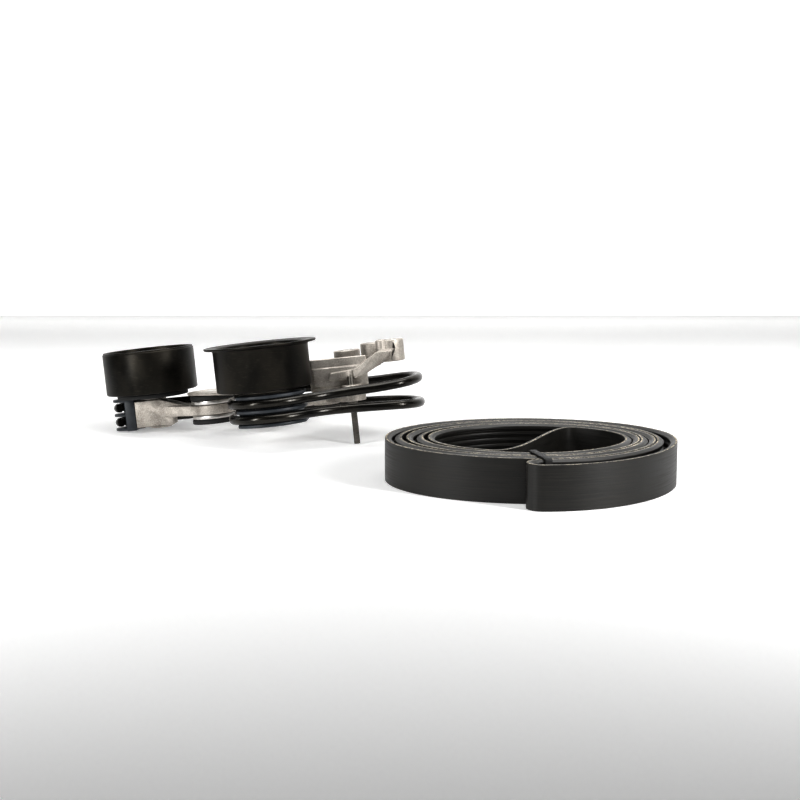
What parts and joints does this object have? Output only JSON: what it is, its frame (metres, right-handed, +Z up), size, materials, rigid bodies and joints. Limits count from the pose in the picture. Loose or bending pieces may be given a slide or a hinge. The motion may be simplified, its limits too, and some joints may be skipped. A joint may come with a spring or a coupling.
{
  "type": "belt tensioner and ribbed belt kit",
  "caption": "Automotive accessory-belt tensioner with smooth pulleys, stacked bow springs and a lock pin, shown with a ribbed belt folded into a coil.",
  "frame": {"origin": "centre of the kit's bounding box, on the floor it stands on", "axes": "+X to the right along the tensioner's length, +Y to the back, away from the belt, +Z up; the pulley axes lean about six degrees off +Z"},
  "size_m": [0.3618, 0.2812, 0.0714],
  "materials": {
    "cast": "rough cast aluminium, light warm grey",
    "black_steel": "satin black coated steel",
    "steel": "bright steel",
    "dark_steel": "phosphated dark steel",
    "polymer": "moulded plastic, dark slate blue",
    "black_plastic": "moulded black plastic",
    "rubber": "satin black ribbed rubber",
    "tie": "pale wire tie end"
  },
  "bodies": {
    "bracket": {"bracket_casting": "cast", "bolt_sleeve_right": "steel", "bolt_sleeve_end": "steel", "bolt_sleeve_ear": "steel", "bolt_sleeve_rear": "steel", "carrier_pivot_bolt": "dark_steel"},
    "carrier": {"carrier_casting": "cast", "carrier_bush": "polymer", "spring_spool": "polymer", "arm_pivot_pin": "steel", "arm_washer_upper": "steel", "arm_washer_lower": "steel", "arm_disc_upper": "black_plastic", "arm_disc_lower": "black_plastic", "centre_axle_bolt": "steel", "centre_bearing_inner_race": "steel", "bow_spring_upper": "black_steel", "bow_spring_lower": "black_steel"},
    "left_arm": {"left_arm_casting": "cast", "left_arm_bush": "polymer", "left_arm_saddle": "polymer", "left_dust_shield": "black_plastic", "left_axle_bolt": "steel", "left_bearing_inner_race": "steel"},
    "left_pulley": {"left_pulley_rim": "black_steel", "left_bearing_outer_race": "steel", "left_bearing_balls": "steel", "left_bearing_seal_lower": "black_plastic", "left_bearing_seal_upper": "black_plastic", "left_dust_cap": "black_plastic"},
    "centre_pulley": {"centre_pulley_rim": "black_steel", "centre_bearing_outer_race": "steel", "centre_bearing_balls": "steel", "centre_bearing_seal_lower": "black_plastic", "centre_bearing_seal_upper": "black_plastic", "centre_dust_cap": "black_plastic"},
    "lock_pin": {"lock_pin": "dark_steel"},
    "belt": {"ribbed_belt": "rubber", "belt_tie": "black_plastic", "belt_tie_tab": "tie"}
  },
  "joints": [
    {"name": "carrier_swing", "type": "hinge", "parent": "bracket", "child": "carrier", "pos_m": [-0.02758, 0.08241, 0.02758], "axis": [-0.1025, 0.0559, 0.9932], "range_deg": [0, 12]},
    {"name": "left_arm_swing", "type": "hinge", "parent": "carrier", "child": "left_arm", "pos_m": [-0.10383, 0.09207, 0.01916], "axis": [0.1025, -0.0559, -0.9932], "range_deg": [0, 16], "stiffness_Nm_per_rad": 12, "springref_deg": -20.05, "deforming": ["bow_spring_upper", "bow_spring_lower"]},
    {"name": "left_pulley_spin", "type": "hinge", "parent": "left_arm", "child": "left_pulley", "pos_m": [-0.14887, 0.1091, 0.04175], "axis": [-0.1025, 0.0559, 0.9932], "continuous": true},
    {"name": "centre_pulley_spin", "type": "hinge", "parent": "carrier", "child": "centre_pulley", "pos_m": [-0.06748, 0.0543, 0.05324], "axis": [-0.1025, 0.0559, 0.9932], "continuous": true},
    {"name": "lock_pin_pull", "type": "slide", "parent": "bracket", "child": "lock_pin", "axis": [0.1025, -0.0559, -0.9932], "range_m": [0, 0.045]},
    {"name": "belt_lift", "type": "slide", "parent": "bracket", "child": "belt", "axis": [0, 0, 1], "range_m": [0, 0.08]}
  ]
}
